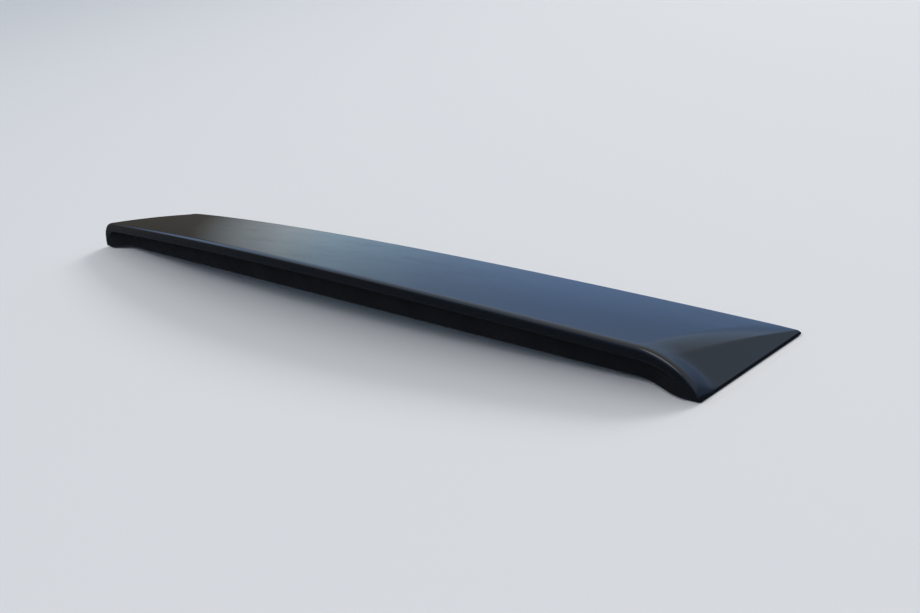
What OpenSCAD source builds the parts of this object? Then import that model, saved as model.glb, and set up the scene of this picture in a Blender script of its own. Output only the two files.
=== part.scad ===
// Rear window deflector.
//
// A low, wide moulded visor that is bonded down along its edges. It is one
// hollow plastic moulding, open underneath, and it carries four strips of
// double-sided foam tape on its bonding lands.
//
// Frame: +X along the width, +Y towards the leading edge, +Z up. The underside
// follows a curved seat, highest at the middle. The origin is under the middle
// of the part, level with the underside of the tape at the two ends, which is
// what the part lies on.

/* [Overall size] */
// Width across the trailing corners, in mm
width = 1120; // [1000:5:1250]
// Width across the leading corners, in mm
front_width = 1088; // [960:5:1230]
// Depth at the middle, from the leading edge to the trailing lip
chord = 140; // [115:1:170]
// Height of the trailing lip above the seat at the middle
lip_height = 41.5; // [32:0.5:52]
// How much lower the lip is at the ends, before the end flanks begin
lip_drop = 6; // [0:0.5:10]

/* [Fit to the seat] */
// How far the ends of the leading edge lie ahead of its middle
front_sweep = 30; // [0:1:60]
// How far the ends of the trailing edge lie ahead of its middle
rear_sweep = 40; // [0:1:60]
// Drop of the seat from the middle of the part to its ends
crown = 26; // [0:1:45]
// Thickness of the foam tape
tape_t = 1.1; // [0.8:0.1:2]
// Width of the foam tape
tape_w = 11; // [8:0.5:12]

/* [Section] */
// Wall thickness of the moulding
skin = 3; // [2.5:0.25:3.5]
// Height of the leading edge above the seat
nose_height = 4.8; // [4:0.2:6]
// Radius that rolls over the leading edge
nose_radius = 2.4; // [1.5:0.1:2.8]
// Rise of the top above a straight line from the leading edge to the lip
top_camber = 2.2; // [0:0.2:5]
// Height of the upright face of the trailing lip
lip_face = 12.5; // [9:0.5:16]
// Size of the rounding along the top of the lip
lip_radius = 6; // [3:0.5:7]
// How far the foot is set in under the lip
undercut = 16; // [14:1:40]
// Width of the bonding land behind the leading edge
front_land = 16; // [14.5:0.5:20]
// Width of the bonding land of the rear foot
rear_land = 12.5; // [12.5:0.5:16]

/* [Ends] */
// Width over which the top falls away to the end, at the lip
flank_width = 52; // [50:1:70]
// Height of the thin edge where the flank meets the seat
edge_height = 3.6; // [3:0.1:4]
// Slope of the flat facet along the end, as rise over run
facet_slope = 0.8; // [0.7:0.02:1.2]
// Share of the height that the facet climbs, up to its crease
facet_rise = 0.78; // [0.65:0.01:0.85]
// Roundness of the end at the lip, where the crease runs out
flank_round = 1.95; // [1.3:0.05:2]

/* [Hidden] */

half_w = width / 2;
half_f = front_width / 2;
end_land = 16;              // width of the solid bonding pad at each end
tape_in = 2.5;              // tape's outer edge, in from the moulding's edge
u_cav = 1 - end_land / half_w;              // the hollow ends here
u_strip = u_cav + 0.0028;                   // the long tapes end here
u_end_in = u_strip + 0.0019;                // inner edge of the end tapes
u_end_out = 1 - tape_in / half_w;           // outer edge of the end tapes
z_base = crown * u_end_out * u_end_out;                // seat drop at what it lies on

// Stations along the width, from the middle (0) to one end (1)
u_half = concat(
    [for (k = [0:12]) 0.88 * k / 12],
    [0.895, 0.908, 0.919, 0.929, 0.938, 0.947, 0.956, 0.964, u_cav, u_strip, u_end_in],
    [for (d = [11.6, 9.8, 8.1, 6.5, 4.6]) 1 - d / half_w],
    [u_end_out],
    [for (d = [1.5, 0.7, 0]) 1 - d / half_w]);
last = len(u_half) - 1;
u_all = [for (k = [-last:last]) k < 0 ? -u_half[-k] : u_half[k]];

function ramp(a, b, x) = let (t = min(1, max(0, (x - a) / (b - a)))) t * t * (3 - 2 * t);
function lead(u) = [half_f * u, chord / 2 + front_sweep * u * u];
function trail(u) = [half_w * u, -chord / 2 + rear_sweep * u * u];
function span(u) = norm(lead(u) - trail(u));
function seat_z(u) = z_base - crown * u * u;
// A point of station u, t along it from the leading edge, z above the seat
function place(u, p) = let (a = lead(u), d = (trail(u) - a) / span(u))
    [a.x + d.x * p.x, a.y + d.y * p.x - y_mid, seat_z(u) + p.y];

// Height of the top above the seat, s from 0 at the leading edge to 1 at the lip
function lip_at(u) = lip_height - lip_drop * u * u;
function top_z(u, s) = nose_height + (lip_at(u) - nose_height) * s + top_camber * 4 * s * (1 - s);
// Rise of the end, from 0 at its thin edge to 1 where the top begins, w in from the edge:
// a flat facet, a crease and a gentle crown, which round off into one curve at the lip
function flank_w(s) = flank_width * (0.45 + 0.55 * top_z(1, s) / lip_at(1));
function facet_w(s) = facet_rise * (top_z(1, s) - edge_height) / facet_slope;
function facet(w, s) = let (a = facet_w(s), b = flank_w(s))
    w < a ? facet_rise * w / a : 1 - (1 - facet_rise) * pow(max(0, b - w) / (b - a), 1.7);
function rounded(t) = pow(1 - pow(max(0, 1 - t), flank_round), 1 / flank_round);
function flank(w, s) = let (k = ramp(0.8, 1, s)) facet(w, s) * (1 - k) + rounded(w / flank_w(s)) * k;
function skin_z(u, s) = edge_height + (top_z(u, s) - edge_height) * flank(max(0, (1 - abs(u)) * half_w), s);
function set_in(u) = 2 + (undercut - 2) * (1 - ramp(0.88, 0.975, abs(u)));

// Rounded corner at c between a and b, n + 1 points
function bend(a, c, b, n) = [for (k = [0:n]) let (t = k / n)
    (1 - t) * (1 - t) * a + 2 * t * (1 - t) * c + t * t * b];
function toward(a, b, r) = a + (b - a) * min(0.48, r / norm(b - a));

top_n = 9;
// Outside of the section, from the underside of the nose over the top to the foot
function outside(u) = let (
    len_u = span(u), h = skin_z(u, 1), nz = skin_z(u, 0),
    rn = min(nose_radius, 0.75 * (nz - tape_t)),
    rl = min(lip_radius, 0.45 * (h - tape_t)),
    z2 = tape_t + max(h - tape_t - lip_face, 0.2 * (h - tape_t)),
    z3 = tape_t + 0.86 * (z2 - tape_t),
    d = set_in(u),
    q1 = [len_u, h], q2 = [len_u - 1.4, z2], q3 = [len_u - 0.82 * d - 0.6, z3], q4 = [len_u - d, tape_t],
    s0 = rn / len_u, s1 = 1 - rl / len_u)
    concat(
        [[0, tape_t]],
        bend([0, nz - rn], [0, nz], [rn, skin_z(u, s0)], 4),
        [for (k = [1:top_n - 1]) let (s = s0 + (s1 - s0) * k / top_n) [s * len_u, skin_z(u, s)]],
        bend([s1 * len_u, skin_z(u, s1)], q1, toward(q1, q2, rl), 5),
        bend(toward(q2, q1, 2.2), q2, toward(q2, q3, 2.2), 3),
        bend(toward(q3, q2, 7), q3, toward(q3, q4, 7), 4),
        [q4]);
// Inside of the section, from the foot's inner edge back to the front land
function inside(u) = let (
    len_u = span(u), h = skin_z(u, 1),
    z2 = tape_t + max(h - tape_t - lip_face, 0.2 * (h - tape_t)),
    z3 = tape_t + 0.86 * (z2 - tape_t),
    d = set_in(u), f = tape_t + skin,
    a = front_land + 3, b = len_u - skin - 2.6)
    concat(
        [[len_u - d - rear_land, tape_t], [len_u - d - rear_land, f], [len_u - d - skin - 0.6, f]],
        [[len_u - 0.82 * d - 0.6 - skin, z3 + skin - 0.6]],
        [[len_u - skin - 1.4, z2 + skin], [len_u - skin - 0.6, h - skin - 2]],
        [for (k = [0:top_n]) let (t = b + (a - b) * k / top_n) [t, skin_z(u, t / len_u) - 1.04 * skin]],
        [[front_land, tape_t]]);

// Middle of the plan box, from the leading corners to the lip's rearmost point
y_mid = (lead(1).y + lead(0).y - max([for (p = outside(0)) p.x])) / 2;

n_out = len(outside(0));
n_in = len(inside(0));
n_all = n_out + n_in;
i_left = last - search(u_cav, u_half)[0];
i_right = last + search(u_cav, u_half)[0];
end_i = 2 * last;

function quad(a, b, c, d) = [[a, b, c], [a, c, d]];
function at(i, j) = i * n_all + j;

// One moulding: top, lip, undercut foot, end flanks and the hollow under the top
module deflector_shell() {
    color([0.03, 0.03, 0.035])
    polyhedron(
        points = [for (u = u_all) each [for (p = concat(outside(u), inside(u))) place(u, p)]],
        faces = concat(
            // outside surface
            [for (i = [0:end_i - 1], j = [0:n_out - 2])
                each quad(at(i, j), at(i + 1, j), at(i + 1, j + 1), at(i, j + 1))],
            // bonding lands and the hollow, where the part is hollow
            [for (i = [i_left:i_right - 1], j = [n_out - 1:n_all - 2])
                each quad(at(i, j), at(i + 1, j), at(i + 1, j + 1), at(i, j + 1))],
            [for (i = [i_left:i_right - 1])
                each quad(at(i, n_all - 1), at(i + 1, n_all - 1), at(i + 1, 0), at(i, 0))],
            // solid pads at the two ends
            [for (i = concat([for (k = [0:i_left - 1]) k], [for (k = [i_right:end_i - 1]) k]))
                each concat(
                    quad(at(i, n_out - 1), at(i + 1, n_out - 1), at(i + 1, n_out), at(i, n_out)),
                    quad(at(i, n_out), at(i + 1, n_out), at(i + 1, n_all - 1), at(i, n_all - 1)),
                    quad(at(i, n_all - 1), at(i + 1, n_all - 1), at(i + 1, 0), at(i, 0)))],
            // end walls of the hollow
            [[for (j = [n_out:n_all - 1]) at(i_left, j)]],
            [[for (j = [n_all - 1:-1:n_out]) at(i_right, j)]],
            // the thin end faces
            [concat([for (j = [0:n_out]) at(0, j)], [at(0, n_all - 1)])],
            [concat([at(end_i, n_all - 1)], [for (j = [n_out:-1:0]) at(end_i, j)])]));
}

// A strip of tape that follows the seat, from t0 to t1 at each of the stations us
module strip(us, t0, t1) {
    m = len(us);
    color([0.16, 0.16, 0.17])
    polyhedron(
        points = [for (k = [0:m - 1]) let (u = us[k])
            each [place(u, [t0[k], 0]), place(u, [t0[k], tape_t]), place(u, [t1[k], tape_t]), place(u, [t1[k], 0])]],
        faces = concat(
            [for (k = [0:m - 2], j = [0:3]) each quad(4 * k + j, 4 * k + 4 + j, 4 * k + 4 + (j + 1) % 4, 4 * k + (j + 1) % 4)],
            [[0, 1, 2, 3]],
            [[4 * m - 1, 4 * m - 2, 4 * m - 3, 4 * m - 4]]));
}

u_long = [for (u = u_all) if (abs(u) <= u_strip + 1e-6) u];
u_short = [for (u = u_half) if (u >= u_end_in - 1e-6 && u <= u_end_out + 1e-6) u];

module front_tape() strip(u_long, [for (u = u_long) tape_in], [for (u = u_long) tape_in + tape_w]);

module rear_tape() strip(u_long,
    [for (u = u_long) span(u) - set_in(u) - 0.8 - tape_w],
    [for (u = u_long) span(u) - set_in(u) - 0.8]);

module right_end_tape() strip(u_short,
    [for (u = u_short) tape_in], [for (u = u_short) span(u) - set_in(u) - 0.8]);

module left_end_tape() mirror([1, 0, 0]) right_end_tape();

deflector_shell();
front_tape();
rear_tape();
left_end_tape();
right_end_tape();
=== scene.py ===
"""Rear window deflector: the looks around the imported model. Metres, in the part's own frame."""

import math

import bmesh
import bpy
import numpy as np
from mathutils import Matrix, Vector


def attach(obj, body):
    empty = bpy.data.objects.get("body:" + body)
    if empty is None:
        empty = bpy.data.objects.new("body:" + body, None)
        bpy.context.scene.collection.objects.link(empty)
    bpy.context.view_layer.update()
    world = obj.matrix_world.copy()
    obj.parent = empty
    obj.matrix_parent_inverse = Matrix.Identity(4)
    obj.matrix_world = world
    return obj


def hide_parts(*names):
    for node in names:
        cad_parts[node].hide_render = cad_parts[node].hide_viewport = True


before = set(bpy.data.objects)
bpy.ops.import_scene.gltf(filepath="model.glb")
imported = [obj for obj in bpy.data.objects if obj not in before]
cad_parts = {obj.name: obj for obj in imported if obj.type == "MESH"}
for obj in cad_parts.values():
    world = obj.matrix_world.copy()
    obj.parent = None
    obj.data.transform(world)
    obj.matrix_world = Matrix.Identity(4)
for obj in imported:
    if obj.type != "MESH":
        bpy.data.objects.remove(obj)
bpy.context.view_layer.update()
scene = bpy.context.scene
MM = 0.001

# ------------------------------------------------------------------ dimensions, as in the part's source, in mm
width, front_width, chord = 1120.0, 1088.0, 140.0
lip_height, lip_drop = 41.5, 6.0
front_sweep, rear_sweep, crown = 30.0, 40.0, 26.0
tape_t, skin = 1.1, 3.0
nose_height, nose_radius, top_camber = 4.8, 2.4, 2.2
lip_face, lip_radius, undercut = 12.5, 6.0, 16.0
front_land, rear_land = 16.0, 12.5
flank_width, edge_height = 52.0, 3.6
facet_slope, facet_rise, flank_round = 0.8, 0.78, 1.95
half_w, half_f = width / 2, front_width / 2
end_land, tape_in = 16.0, 2.5
u_cav = 1 - end_land / half_w
z_base = crown * (1 - tape_in / half_w) ** 2


# ------------------------------------------------------------------ the moulding's section, on arrays of stations u
def lead(u):
    return np.stack([half_f * u, chord / 2 + front_sweep * u * u], -1)


def trail(u):
    return np.stack([half_w * u, -chord / 2 + rear_sweep * u * u], -1)


def span(u):
    return np.linalg.norm(lead(u) - trail(u), axis=-1)


def lip_at(u):
    return lip_height - lip_drop * u * u


def top_z(u, s):
    return nose_height + (lip_at(u) - nose_height) * s + top_camber * 4 * s * (1 - s)


def ramp(a, b, x):
    t = np.clip((x - a) / (b - a), 0, 1)
    return t * t * (3 - 2 * t)


def flank_w(s):
    return flank_width * (0.45 + 0.55 * top_z(1.0, s) / lip_at(1.0))


def facet_w(s):
    return facet_rise * (top_z(1.0, s) - edge_height) / facet_slope


def flank(w, s):
    a, b, k = facet_w(s), flank_w(s), ramp(0.8, 1, s)
    facet = np.where(w < a, facet_rise * w / a, 1 - (1 - facet_rise) * (np.maximum(0, b - w) / (b - a)) ** 1.7)
    return facet * (1 - k) + (1 - np.maximum(0, 1 - w / b) ** flank_round) ** (1 / flank_round) * k


def skin_z(u, s):
    return edge_height + (top_z(u, s) - edge_height) * flank(np.maximum(0, (1 - np.abs(u)) * half_w), s)


def set_in(u):
    return 2 + (undercut - 2) * (1 - ramp(0.88, 0.975, np.abs(u)))


def pt(x, z, u):
    return np.stack(np.broadcast_arrays(np.asarray(x, float), np.asarray(z, float), u)[:2], -1)


def bend(a, c, b, n, ends=True):
    ks = range(n + 1) if ends else range(1, n)
    return [(1 - k / n) ** 2 * a + 2 * (k / n) * (1 - k / n) * c + (k / n) ** 2 * b for k in ks]


def toward(a, b, r, most=0.48):
    d = b - a
    ln = np.linalg.norm(d, axis=-1, keepdims=True)
    return a + d * np.minimum(most, r / ln)


def corner(a, c, b, r, n, most=0.48):
    """The corner c of the path a, c, b, rounded by about r."""
    return bend(toward(c, a, r, most), c, toward(c, b, r, most), n)


N_TOP = 44


def section(u):
    """Closed section of each station: a list of (point array, s for the end flank's lines, material) around it.
    Points are (t along the station from the leading edge, z above the seat)."""
    L, h, nz = span(u), skin_z(u, 1.0), skin_z(u, 0.0)
    rn = np.minimum(nose_radius, 0.75 * (nz - tape_t))
    rl = np.minimum(lip_radius, 0.45 * (h - tape_t))
    z2 = tape_t + np.maximum(h - tape_t - lip_face, 0.2 * (h - tape_t))
    z3 = tape_t + 0.86 * (z2 - tape_t)
    d = set_in(u)
    q1, q2, q3 = pt(L, h, u), pt(L - 1.4, z2, u), pt(L - 0.82 * d - 0.6, z3, u)
    q4 = pt(L - d, tape_t, u)
    s0, s1 = rn / L, 1 - rl / L
    p0 = pt(0, tape_t, u)
    land = pt(front_land, tape_t, u)
    out = []
    add = lambda pts, s, m: out.extend((p, s, m) for p in pts)
    # 0 gloss paint, 1 bare moulded plastic
    nose_low = pt(0, nz - rn, u)
    add(corner(land, p0, nose_low, 0.35, 3), 0.0, 0)
    add(bend(nose_low, pt(0, nz, u), pt(rn, skin_z(u, s0), u), 9), 0.0, 0)
    for k in range(1, N_TOP):
        f = k / N_TOP
        s = s0 + (s1 - s0) * f
        out.append((pt(s * L, skin_z(u, s), u), f, 0))
    add(bend(pt(s1 * L, skin_z(u, s1), u), q1, toward(q1, q2, rl[..., None]), 12), 1.0, 0)
    f1 = toward(q1, q2, rl[..., None])
    f2 = toward(q2, q1, 2.2)
    add([f1 + (f2 - f1) * k / 4 for k in (1, 2, 3)], 1.0, 0)
    add(bend(f2, q2, toward(q2, q3, 2.2), 6), 1.0, 0)
    g1, g2 = toward(q2, q3, 2.2), toward(q3, q2, 7.0)
    add([g1 + (g2 - g1) * k / 6 for k in (1, 2, 3, 4, 5)], 1.0, 1)
    add(bend(g2, q3, toward(q3, q4, 7.0), 8), 1.0, 1)
    g3, g4 = toward(q3, q4, 7.0), toward(q4, q3, 0.4)
    add([g3 + (g4 - g3) * k / 4 for k in (1, 2, 3)], 1.0, 1)
    q5 = pt(L - d - rear_land, tape_t, u)
    add(corner(q3, q4, q5, 0.4, 3), 1.0, 1)
    n_out = len(out)
    # inside of the hollow
    f = tape_t + skin
    a, b = front_land + 3, L - skin - 2.6
    q6, q7 = pt(L - d - rear_land, f, u), pt(L - d - skin - 0.6, f, u)
    q8 = pt(L - 0.82 * d - 0.6 - skin, z3 + skin - 0.6, u)
    q9, q10 = pt(L - skin - 1.4, z2 + skin, u), pt(L - skin - 0.6, h - skin - 2, u)
    tops = []
    for k in range(N_TOP // 2 + 1):
        t = b + (a - b) * k / (N_TOP // 2)
        tops.append(pt(t, skin_z(u, t / L) - 1.04 * skin, u))
    q12 = land
    add(corner(q4, q5, q6, 0.3, 2), 1.0, 1)
    add(corner(q5, q6, q7, 0.8, 3), 1.0, 1)
    add(corner(q6, q7, q8, 2.0, 4), 1.0, 1)
    add(corner(q7, q8, q9, 3.0, 5), 1.0, 1)
    add(corner(q8, q9, q10, 2.2, 4), 1.0, 1)
    add(corner(q9, q10, tops[0], 1.5, 4, 0.45), 1.0, 1)
    add(tops[:-1], 1.0, 1)
    add(corner(tops[-2], tops[-1], q12, 1.5, 3), 1.0, 1)
    add(corner(tops[-1], q12, p0, 0.3, 2), 1.0, 1)
    return out, n_out


def station_lines():
    """Half of the lines across the width, as functions of s: lists (u0, w_part). u = u0 where w_part is None, else 1 - w(s) * w_part."""
    lines = []
    u_in = 0.84
    for k in range(97):
        lines.append((u_in * k / 96, None))
    n_mid = 12
    for k in range(1, n_mid):
        lines.append((k / n_mid, "mid"))
    # from 2 where the top begins to fall away, over 1 at the facet's crease, to 0 at the thin edge
    for k in range(29):
        lines.append((2 - k / 28, "end"))
    for k in range(1, 29):
        lines.append(((1 - k / 28) ** 1.5, "end"))
    return lines


def u_of(lines, s):
    """u of each line at share s of the way from the leading edge to the lip."""
    a, b = facet_w(s) / half_w, flank_w(s) / half_w
    out = []
    for v, kind in lines:
        if kind is None:
            out.append(v)
        elif kind == "mid":
            out.append(0.84 + (1 - b - 0.84) * v)
        else:
            out.append(1 - (a * v if v <= 1 else a + (b - a) * (v - 1)))
    return np.array(out)


def place(u, p):
    a = lead(u)
    d = (trail(u) - a) / span(u)[:, None]
    return np.stack([a[:, 0] + d[:, 0] * p[:, 0], a[:, 1] + d[:, 1] * p[:, 0] - y_mid, z_base - crown * u * u + p[:, 1]], -1)


_mid, _ = section(np.array([0.0]))
y_mid = (lead(np.array([1.0]))[0, 1] + lead(np.array([0.0]))[0, 1] - max(p[0, 0] for p, s, m in _mid)) / 2


def mesh_object(name, verts, faces, mats, face_mats=None):
    me = bpy.data.meshes.new(name)
    me.from_pydata([tuple(v) for v in verts], [], faces)
    for m in mats:
        me.materials.append(m)
    if face_mats is not None:
        me.polygons.foreach_set("material_index", face_mats)
    me.update()
    ob = bpy.data.objects.new(name, me)
    scene.collection.objects.link(ob)
    return ob


def finish_mesh(ob, sharp_deg=40):
    bm = bmesh.new()
    bm.from_mesh(ob.data)
    loose = [v for v in bm.verts if not v.link_faces]
    bmesh.ops.delete(bm, geom=loose, context="VERTS")
    bmesh.ops.remove_doubles(bm, verts=bm.verts, dist=2e-6)
    bmesh.ops.dissolve_degenerate(bm, dist=1e-7, edges=bm.edges)
    bmesh.ops.triangulate(bm, faces=[f for f in bm.faces if len(f.verts) > 4], ngon_method="BEAUTY")
    bmesh.ops.recalc_face_normals(bm, faces=bm.faces)
    for f in bm.faces:
        f.smooth = True
    for e in bm.edges:
        e.smooth = not (len(e.link_faces) == 2 and e.calc_face_angle(0) > math.radians(sharp_deg))
    bm.to_mesh(ob.data)
    bm.free()
    ob.data.update()


def build_shell(mats):
    lines = station_lines()
    half = len(lines)
    share = [s for _, s, _ in _mid]
    kind = [m for _, _, m in _mid]
    n_all = len(share)
    cols = []
    cache = {}
    i_cav = None
    _, n_out = section(np.array([0.0]))
    for j in range(n_all):
        s = share[j]
        if s not in cache:
            uh = u_of(lines, s)
            if s == 1.0:
                # one line lies exactly on the end of the hollow
                i_cav = int(np.argmin(np.abs(uh - u_cav)))
                uh[i_cav] = u_cav
            u = np.concatenate([-uh[:0:-1], uh])
            cache[s] = (u, section(u)[0])
        u, sec = cache[s]
        cols.append(place(u, sec[j][0]))
    P = np.stack(cols, 1)  # stations, section points, 3
    m = P.shape[0]
    last = half - 1
    il, ir = last - i_cav, last + i_cav
    at = lambda i, j: i * n_all + j
    faces, fm = [], []

    def quad(i, j, k, mat):
        faces.append((at(i, j), at(i + 1, j), at(i + 1, k), at(i, k)))
        fm.append(mat)

    for i in range(m - 1):
        for j in range(n_out - 1):
            quad(i, j, j + 1, kind[j + 1] if j else 0)
        if il <= i < ir:
            for j in range(n_out - 1, n_all - 1):
                quad(i, j, j + 1, 1)
            quad(i, n_all - 1, 0, 1)
        else:
            quad(i, n_out - 1, n_out, 1)
            quad(i, n_out, n_all - 1, 1)
            quad(i, n_all - 1, 0, 1)
    faces.append(tuple(at(il, j) for j in range(n_out, n_all)))
    fm.append(1)
    faces.append(tuple(at(ir, j) for j in range(n_all - 1, n_out - 1, -1)))
    fm.append(1)
    faces.append(tuple([at(0, j) for j in range(n_out + 1)] + [at(0, n_all - 1)]))
    fm.append(0)
    faces.append(tuple([at(m - 1, n_all - 1)] + [at(m - 1, j) for j in range(n_out, -1, -1)]))
    fm.append(0)
    V = P.reshape(-1, 3)
    # a thin moulded skin is never quite true: very slow waves of a few hundredths of a millimetre
    x, y = V[:, 0], V[:, 1]
    wave = (
        0.020 * np.sin(x / 41.0 + 0.7 * np.sin(y / 33.0) + 0.9)
        + 0.016 * np.sin(x / 23.0 - y / 38.0 + 2.1)
        + 0.012 * np.sin(x / 67.0 + y / 21.0 + 4.0)
    )
    top = np.array([0.0 if (s in (0.0, 1.0)) else math.sin(math.pi * s) ** 0.5 for s in share])
    V[:, 2] += wave * np.tile(top, m) * np.array([1.0 if j < n_out else 0.0 for j in range(n_all)] * m)
    ob = mesh_object("deflector_skin", V * MM, faces, mats, fm)
    finish_mesh(ob)
    return ob


# ------------------------------------------------------------------ materials
def node_material(name):
    mat = bpy.data.materials.new(name)
    mat.use_nodes = True
    nt = mat.node_tree
    bsdf = nt.nodes["Principled BSDF"]
    return mat, nt, bsdf


def add_node(nt, kind, **props):
    n = nt.nodes.new(kind)
    for k, v in props.items():
        setattr(n, k, v)
    return n


def noise(nt, coord, scale, detail=2.0, rough=0.5, stretch=None):
    n = add_node(nt, "ShaderNodeTexNoise")
    n.inputs["Scale"].default_value = scale
    n.inputs["Detail"].default_value = detail
    n.inputs["Roughness"].default_value = rough
    if stretch:
        mp = add_node(nt, "ShaderNodeMapping")
        mp.inputs["Scale"].default_value = stretch
        nt.links.new(coord, mp.inputs["Vector"])
        nt.links.new(mp.outputs["Vector"], n.inputs["Vector"])
    else:
        nt.links.new(coord, n.inputs["Vector"])
    return n.outputs["Fac"]


def to_range(nt, v, a, b, c, d):
    n = add_node(nt, "ShaderNodeMapRange")
    n.clamp = True
    for name, x in zip(("From Min", "From Max", "To Min", "To Max"), (a, b, c, d)):
        n.inputs[name].default_value = x
    nt.links.new(v, n.inputs["Value"])
    return n.outputs["Result"]


def gloss_black():
    """Gloss black paint under a clear coat: orange peel, settled dust, faint wipe marks."""
    mat, nt, b = node_material("gloss_black_paint")
    co = add_node(nt, "ShaderNodeTexCoord").outputs["Object"]
    b.inputs["IOR"].default_value = 1.5
    b.inputs["Specular IOR Level"].default_value = 0.06
    b.inputs["Coat Weight"].default_value = 1.0
    b.inputs["Coat Roughness"].default_value = 0.035
    b.inputs["Coat IOR"].default_value = 1.5
    # base under the coat: near black, a little lighter where dust has settled
    dust = to_range(nt, noise(nt, co, 1300.0, 2.0, 0.5), 0.62, 0.80, 0.0, 1.0)
    patch = to_range(nt, noise(nt, co, 9.0, 3.0, 0.55), 0.40, 0.75, 0.15, 1.0)
    mul = add_node(nt, "ShaderNodeMath", operation="MULTIPLY")
    nt.links.new(dust, mul.inputs[0])
    nt.links.new(patch, mul.inputs[1])
    mix = add_node(nt, "ShaderNodeMix", data_type="RGBA")
    mix.inputs["A"].default_value = (0.0055, 0.0065, 0.0085, 1)
    mix.inputs["B"].default_value = (0.030, 0.031, 0.032, 1)
    nt.links.new(mul.outputs[0], mix.inputs["Factor"])
    nt.links.new(mix.outputs["Result"], b.inputs["Base Color"])
    # smears and wipe marks change how sharp the base's reflection is
    smear = to_range(nt, noise(nt, co, 14.0, 4.0, 0.6, (1.0, 3.0, 1.0)), 0.35, 0.7, 0.16, 0.30)
    nt.links.new(smear, b.inputs["Roughness"])
    # orange peel
    peel = add_node(nt, "ShaderNodeBump")
    peel.inputs["Strength"].default_value = 1.0
    peel.inputs["Distance"].default_value = 0.0000045
    nt.links.new(noise(nt, co, 420.0, 2.0, 0.45), peel.inputs["Height"])
    nt.links.new(peel.outputs["Normal"], b.inputs["Normal"])
    nt.links.new(peel.outputs["Normal"], b.inputs["Coat Normal"])
    return mat


def bare_black():
    """The moulding's own black plastic: fine grain, matt, on the undercut, the lands and inside."""
    mat, nt, b = node_material("moulded_black_plastic")
    co = add_node(nt, "ShaderNodeTexCoord").outputs["Object"]
    b.inputs["IOR"].default_value = 1.45
    b.inputs["Specular IOR Level"].default_value = 0.25
    tone = to_range(nt, noise(nt, co, 26.0, 4.0, 0.6), 0.3, 0.7, 0.0, 1.0)
    mix = add_node(nt, "ShaderNodeMix", data_type="RGBA")
    mix.inputs["A"].default_value = (0.0050, 0.0052, 0.0056, 1)
    mix.inputs["B"].default_value = (0.0095, 0.0098, 0.0102, 1)
    nt.links.new(tone, mix.inputs["Factor"])
    nt.links.new(mix.outputs["Result"], b.inputs["Base Color"])
    nt.links.new(to_range(nt, noise(nt, co, 60.0, 3.0, 0.5), 0.3, 0.7, 0.50, 0.68), b.inputs["Roughness"])
    grain = add_node(nt, "ShaderNodeBump")
    grain.inputs["Strength"].default_value = 0.6
    grain.inputs["Distance"].default_value = 0.00005
    nt.links.new(noise(nt, co, 1500.0, 2.0, 0.5), grain.inputs["Height"])
    nt.links.new(grain.outputs["Normal"], b.inputs["Normal"])
    return mat


def foam():
    """Dark grey acrylic foam of the tape, with its open cells."""
    mat, nt, b = node_material("acrylic_foam_tape")
    co = add_node(nt, "ShaderNodeTexCoord").outputs["Object"]
    vor = add_node(nt, "ShaderNodeTexVoronoi")
    vor.inputs["Scale"].default_value = 1800.0
    nt.links.new(co, vor.inputs["Vector"])
    cell = to_range(nt, vor.outputs["Distance"], 0.0, 0.7, 0.0, 1.0)
    mix = add_node(nt, "ShaderNodeMix", data_type="RGBA")
    mix.inputs["A"].default_value = (0.022, 0.022, 0.023, 1)
    mix.inputs["B"].default_value = (0.050, 0.050, 0.052, 1)
    nt.links.new(cell, mix.inputs["Factor"])
    nt.links.new(mix.outputs["Result"], b.inputs["Base Color"])
    b.inputs["Roughness"].default_value = 0.85
    b.inputs["Specular IOR Level"].default_value = 0.3
    bump = add_node(nt, "ShaderNodeBump")
    bump.inputs["Strength"].default_value = 0.7
    bump.inputs["Distance"].default_value = 0.00012
    nt.links.new(cell, bump.inputs["Height"])
    nt.links.new(bump.outputs["Normal"], b.inputs["Normal"])
    return mat


paint, bare, tape_mat = gloss_black(), bare_black(), foam()
shell = build_shell([paint, bare])
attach(shell, "root")
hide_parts("deflector_shell")
for n in ("front_tape", "rear_tape", "left_end_tape", "right_end_tape"):
    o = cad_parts[n]
    o.data.materials.clear()
    o.data.materials.append(tape_mat)

# ------------------------------------------------------------------ floor, light, camera
bpy.ops.mesh.primitive_plane_add(size=24.0, location=(0, 0, 0))
floor = bpy.context.object
floor.name = "floor"
fmat, fnt, fb = node_material("pale_floor")
fb.inputs["Base Color"].default_value = (0.75, 0.735, 0.71, 1)
fb.inputs["Roughness"].default_value = 0.75
fb.inputs["Specular IOR Level"].default_value = 0.2
floor.data.materials.append(fmat)
floor.visible_glossy = False  # the gloss shows the dark ground of the surroundings below, as the photograph's does

# a plain pale backdrop past the floor, for the camera alone: no light comes from it and the gloss doesn't show it
bpy.ops.mesh.primitive_uv_sphere_add(segments=64, ring_count=32, radius=11.5)
backdrop = bpy.context.object
backdrop.name = "backdrop"
bmat = bpy.data.materials.new("pale_backdrop")
bmat.use_nodes = True
bnt = bmat.node_tree
bnt.nodes.clear()
glow = bnt.nodes.new("ShaderNodeEmission")
glow.inputs["Color"].default_value = (0.60, 0.62, 0.65, 1)
bnt.links.new(glow.outputs[0], bnt.nodes.new("ShaderNodeOutputMaterial").inputs["Surface"])
backdrop.data.materials.append(bmat)
bmat.cycles.emission_sampling = "NONE"
backdrop.visible_diffuse = backdrop.visible_glossy = backdrop.visible_transmission = False
backdrop.visible_volume_scatter = backdrop.visible_shadow = False

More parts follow.
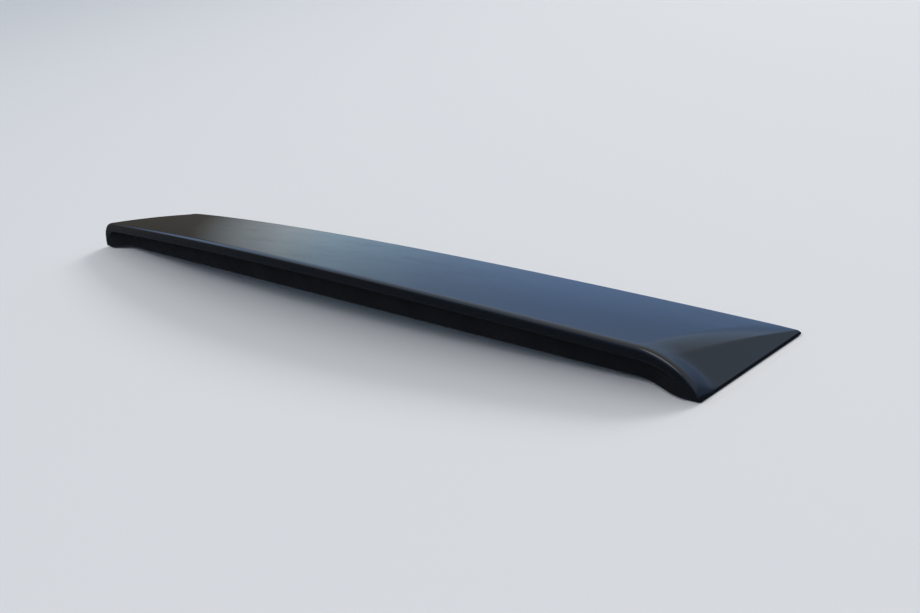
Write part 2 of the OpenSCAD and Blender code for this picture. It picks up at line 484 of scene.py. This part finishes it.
world = bpy.data.worlds.new("soft_studio")
scene.world = world
world.use_nodes = True
wn = world.node_tree
bg = wn.nodes["Background"]
tc = wn.nodes.new("ShaderNodeTexCoord")
sep = wn.nodes.new("ShaderNodeSeparateXYZ")
wn.links.new(tc.outputs["Generated"], sep.inputs[0])


def ramp_of(source, stops):
    """a colour ramp over source, its stops given in source's own units"""
    first, last = stops[0][0], stops[-1][0]
    scale = wn.nodes.new("ShaderNodeMapRange")
    scale.inputs["From Min"].default_value, scale.inputs["From Max"].default_value = first, last
    wn.links.new(source, scale.inputs["Value"])
    node = wn.nodes.new("ShaderNodeValToRGB")
    wn.links.new(scale.outputs["Result"], node.inputs["Fac"])
    el = node.color_ramp.elements
    while len(el) < len(stops):
        el.new(0.5)
    for e, (p, c) in zip(el, stops):
        e.position = (p - first) / (last - first)
        e.color = (*c, 1)
    return node.outputs["Color"]


def world_mix(factor, a, b):
    node = wn.nodes.new("ShaderNodeMix")
    node.data_type = "RGBA"
    wn.links.new(factor, node.inputs["Factor"])
    for socket, value in (("A", a), ("B", b)):
        if isinstance(value, tuple):
            node.inputs[socket].default_value = (*value, 1)
        else:
            wn.links.new(value, node.inputs[socket])
    return node.outputs["Result"]


# by height of the direction: dark ground, then a dusky to pale sky
by_height = ramp_of(sep.outputs["Z"], [
    (-0.25, (0.030, 0.036, 0.044)),
    (-0.17, (0.040, 0.048, 0.060)),
    (-0.09, (0.13, 0.19, 0.28)),
    (0.02, (0.14, 0.225, 0.355)),
    (0.09, (0.15, 0.24, 0.40)),
    (0.15, (0.19, 0.29, 0.48)),
    (0.25, (0.28, 0.385, 0.60)),
    (0.35, (0.35, 0.48, 0.70)),
    (0.62, (0.49, 0.61, 0.78)),
    (0.78, (0.66, 0.66, 0.66)),
    (1.0, (0.60, 0.59, 0.57)),
])
# along the horizon, by degrees from -x towards +y: a dark stretch, then the brightest of the sky beside it
west = wn.nodes.new("ShaderNodeMath")
west.operation = "MULTIPLY"
west.inputs[1].default_value = -1.0
wn.links.new(sep.outputs["X"], west.inputs[0])
turn = wn.nodes.new("ShaderNodeMath")
turn.operation = "ARCTAN2"
wn.links.new(sep.outputs["Y"], turn.inputs[0])
wn.links.new(west.outputs[0], turn.inputs[1])
degrees = wn.nodes.new("ShaderNodeMath")
degrees.operation = "DEGREES"
wn.links.new(turn.outputs[0], degrees.inputs[0])
by_turn = ramp_of(degrees.outputs[0], [
    (-70.0, (0.14, 0.22, 0.35)),
    (-40.0, (0.05, 0.048, 0.045)),
    (24.6, (0.055, 0.051, 0.044)),
    (27.0, (0.240, 0.267, 0.283)),
    (28.7, (0.327, 0.383, 0.420)),
    (31.0, (0.264, 0.378, 0.476)),
    (36.0, (0.178, 0.266, 0.405)),
    (42.0, (0.155, 0.245, 0.43)),
    (60.0, (0.155, 0.245, 0.41)),
])
low = ramp_of(sep.outputs["Z"], [
    (-0.28, (0, 0, 0)),
    (-0.14, (1, 1, 1)),
    (0.12, (1, 1, 1)),
    (0.30, (0, 0, 0)),
])
around = world_mix(low, by_height, by_turn)
# a soft bright patch high behind the part, for its gloss to show from ahead
dot = wn.nodes.new("ShaderNodeVectorMath")
dot.operation = "DOT_PRODUCT"
dot.inputs[1].default_value = (0.0, -0.60, 0.80)
wn.links.new(tc.outputs["Generated"], dot.inputs[0])
patch = wn.nodes.new("ShaderNodeMapRange")
patch.interpolation_type = "SMOOTHERSTEP"
patch.inputs["From Min"].default_value, patch.inputs["From Max"].default_value = 0.88, 0.99
wn.links.new(dot.outputs["Value"], patch.inputs["Value"])
lit = world_mix(patch.outputs["Result"], around, (2.4, 2.45, 2.55))
wn.links.new(lit, bg.inputs["Color"])
bg.inputs["Strength"].default_value = 1.0


def area(name, loc, target, sx, sy, watts, color=(1, 1, 1)):
    li = bpy.data.lights.new(name, "AREA")
    li.shape = "RECTANGLE"
    li.size, li.size_y, li.energy, li.color = sx, sy, watts, color
    ob = bpy.data.objects.new(name, li)
    scene.collection.objects.link(ob)
    ob.location = loc
    ob.rotation_euler = (Vector(target) - Vector(loc)).to_track_quat("-Z", "Y").to_euler()
    return ob


# the key lies low ahead of the part, so that its shadow falls towards the camera and darkens the lip's reflection
key = area("key_soft", (0.96, 5.7, 4.05), (0.12, 0, 0), 4.2, 2.7, 105, (1.0, 0.985, 0.96))
key.data.spread = math.radians(130)
key.visible_glossy = False
# Camera: the photograph's own viewpoint and perspective, carried into the part's frame, turned to centre the part
C = Vector((1.2696, -0.6704, 0.4248))
yaw, pitch, roll, f_px = math.radians(60.81), math.radians(24.71), math.radians(-14.60), 292.0
fwd = Vector((-math.sin(yaw) * math.cos(pitch), math.cos(yaw) * math.cos(pitch), -math.sin(pitch)))
right = Vector((math.cos(yaw), math.sin(yaw), 0))
up = right.cross(fwd)
r2 = math.cos(roll) * right + math.sin(roll) * up
u2 = -math.sin(roll) * right + math.cos(roll) * up
# centre of the part in the photograph, and how much closer the frame is
px, py, zoom = 466.0, 271.5, 4.85
ray = (fwd + r2 * ((px - 460.0) / f_px) - u2 * ((py - 306.5) / f_px)).normalized()
side = ray.cross(u2).normalized()
above = side.cross(ray).normalized()
cam_data = bpy.data.cameras.new("camera")
cam = bpy.data.objects.new("camera", cam_data)
scene.collection.objects.link(cam)
cam.matrix_world = Matrix(
    ((side.x, above.x, -ray.x, C.x), (side.y, above.y, -ray.y, C.y), (side.z, above.z, -ray.z, C.z), (0, 0, 0, 1))
)
cam_data.sensor_fit = "HORIZONTAL"
cam_data.sensor_width = 36.0
cam_data.lens = 36.0 * f_px * zoom / 920.0
cam_data.clip_start, cam_data.clip_end = 0.02, 100
scene.camera = cam
scene.view_settings.view_transform = "Standard"
scene.view_settings.look = "None"
